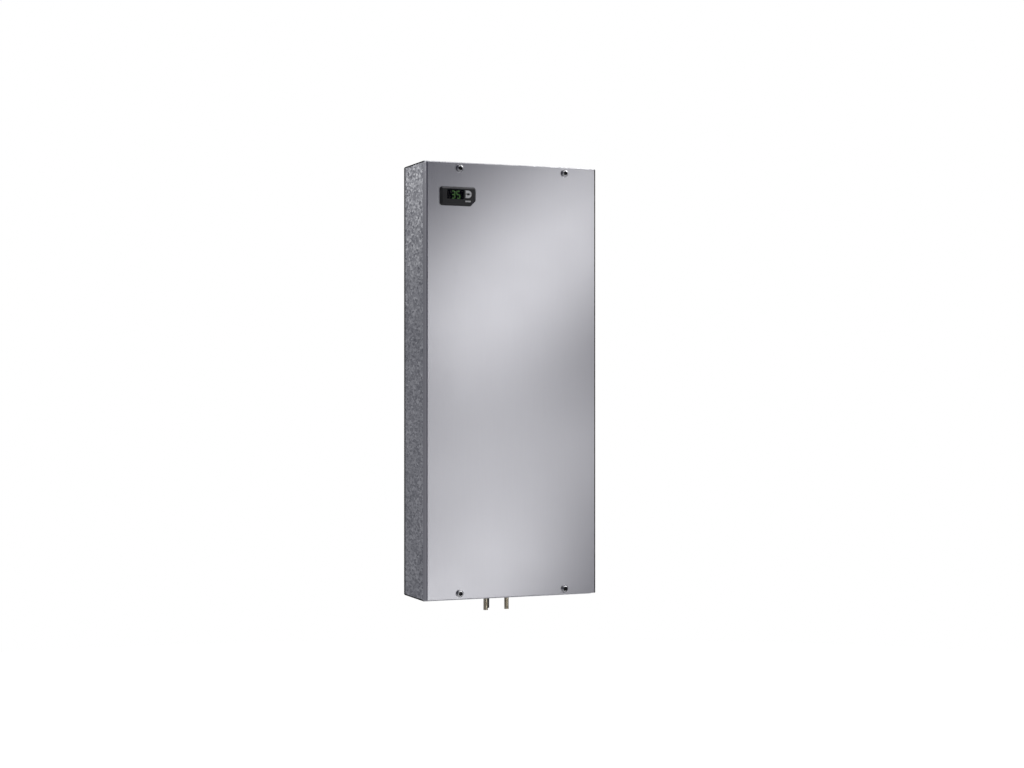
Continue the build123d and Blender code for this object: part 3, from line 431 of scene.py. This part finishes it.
floor_disc(-2.6, 14.0)
softbox("key_strip", (0.548, -1.345, 0.349), (0.548, 0.0, 0.349), 0.902, 0.348, 1.86, 41.7)
softbox("mid_strip", (0.472, -1.345, -0.223), (0.472, 0.0, -0.223), 0.985, 0.270, 0.86, 7.9)
softbox("low_strip", (0.230, -1.345, -0.675), (0.230, 0.0, -0.675), 0.885, 0.227, 1.42, 34.2)
softbox("side_top", (-1.0, 0.8, 1.0), (-0.2, -0.06, 0.3), 0.6, 0.6, 4.6)
softbox("right_high", (1.3, -0.06, 1.35), (0.0, -0.15, 0.05), 1.0, 1.2, 20.0)
softbox("overhead", (0.1, -0.7, 1.8), (0.0, -0.1, 0.0), 1.4, 0.8, 5.0)
softbox("rear", (0.06, 1.5, 0.0), (0.0, 0.0, 0.0), 0.5, 0.8, 7.0)
softbox("right_top", (1.05, 0.8, 1.05), (0.2, -0.06, 0.3), 0.6, 0.6, 4.6)

world = bpy.data.worlds.new("studio")
scene.world = world
world.use_nodes = True
wt = world.node_tree
wt.nodes.clear()
path = wt.nodes.new("ShaderNodeLightPath")
room = wt.nodes.new("ShaderNodeBackground")      # what polished faces mirror
fill = wt.nodes.new("ShaderNodeBackground")      # what lights matt faces
plain = wt.nodes.new("ShaderNodeBackground")     # what stands behind the object
fill.inputs["Color"].default_value = (1.0, 1.0, 1.0, 1.0)
plain.inputs["Color"].default_value = (1.0, 1.0, 1.0, 1.0)
plain.inputs["Strength"].default_value = 1.0
way = wt.nodes.new("ShaderNodeTexCoord")


def glow(direction, start, full, strength):
    """Brightness that rises smoothly towards one direction of the room."""
    dot = wt.nodes.new("ShaderNodeVectorMath")
    dot.operation = "DOT_PRODUCT"
    wt.links.new(way.outputs["Generated"], dot.inputs[0])
    dot.inputs[1].default_value = Vector(direction).normalized()
    rise = wt.nodes.new("ShaderNodeMapRange")
    rise.interpolation_type = "SMOOTHSTEP"
    rise.inputs["From Min"].default_value = start
    rise.inputs["From Max"].default_value = full
    rise.inputs["To Max"].default_value = strength
    wt.links.new(dot.outputs["Value"], rise.inputs["Value"])
    return rise.outputs["Result"]


def total(values, base):
    for v in values:
        n = wt.nodes.new("ShaderNodeMath")
        n.operation = "ADD"
        wt.links.new(v, n.inputs[0])
        if isinstance(base, float):
            n.inputs[1].default_value = base
        else:
            wt.links.new(base, n.inputs[1])
        base = n.outputs[0]
    return base


level = total([
    glow((-0.8, 0.6, 0.0), 0.55, 0.95, 0.235),    # wall behind, to the left
    glow((-0.9, -0.4, 0.0), 0.45, 0.95, 0.10),    # wall in front, to the left
    glow((0.92, -0.38, 0.0), 0.90, 0.985, 0.22),  # wall in front, to the right
    glow((0.75, 0.66, 0.0), 0.80, 0.97, 0.28),    # wall behind, to the right
    glow((0.1, -0.2, 0.97), 0.62, 0.95, 0.50),    # ceiling
    glow((0, -0.15, -0.98), 0.5, 0.92, 0.30),     # ground below
    glow((0.0, 0.0, -1.0), 0.06, 0.42, 0.20),     # ground farther off
], 0.012)
room.inputs["Color"].default_value = (1.0, 1.0, 1.0, 1.0)
wt.links.new(level, room.inputs["Strength"])
haze = wt.nodes.new("ShaderNodeBackground")      # cool spill of the studio
haze.inputs["Color"].default_value = (0.0, 0.05, 1.0, 1.0)
haze.inputs["Strength"].default_value = 0.023
mirror = wt.nodes.new("ShaderNodeAddShader")
wt.links.new(room.outputs[0], mirror.inputs[0])
wt.links.new(haze.outputs[0], mirror.inputs[1])
wt.links.new(total([glow((0, 0, 1), -0.3, 0.7, 0.9)], 0.2), fill.inputs["Strength"])
first = wt.nodes.new("ShaderNodeMixShader")
wt.links.new(path.outputs["Is Diffuse Ray"], first.inputs[0])
wt.links.new(mirror.outputs[0], first.inputs[1])
wt.links.new(fill.outputs[0], first.inputs[2])
second = wt.nodes.new("ShaderNodeMixShader")
wt.links.new(path.outputs["Is Camera Ray"], second.inputs[0])
wt.links.new(first.outputs[0], second.inputs[1])
wt.links.new(plain.outputs[0], second.inputs[2])
out = wt.nodes.new("ShaderNodeOutputWorld")
wt.links.new(second.outputs[0], out.inputs["Surface"])
world.cycles.sampling_method = "NONE"

scene.view_settings.view_transform = "Standard"
scene.view_settings.look = "None"
scene.view_settings.exposure = 0.0
scene.view_settings.gamma = 1.0

lens = bpy.data.cameras.new("camera")
lens.sensor_fit = "HORIZONTAL"
lens.sensor_width = 36.0
lens.lens = 62.4
lens.clip_start, lens.clip_end = 0.05, 100.0
camera = bpy.data.objects.new("camera", lens)
camera.location = (-1.46181, -3.73414, -0.00642)
camera.rotation_mode = "QUATERNION"
camera.rotation_quaternion = Vector((0.37688, 0.92626, 0.0)).to_track_quat("-Z", "Y")
scene.collection.objects.link(camera)
scene.camera = camera
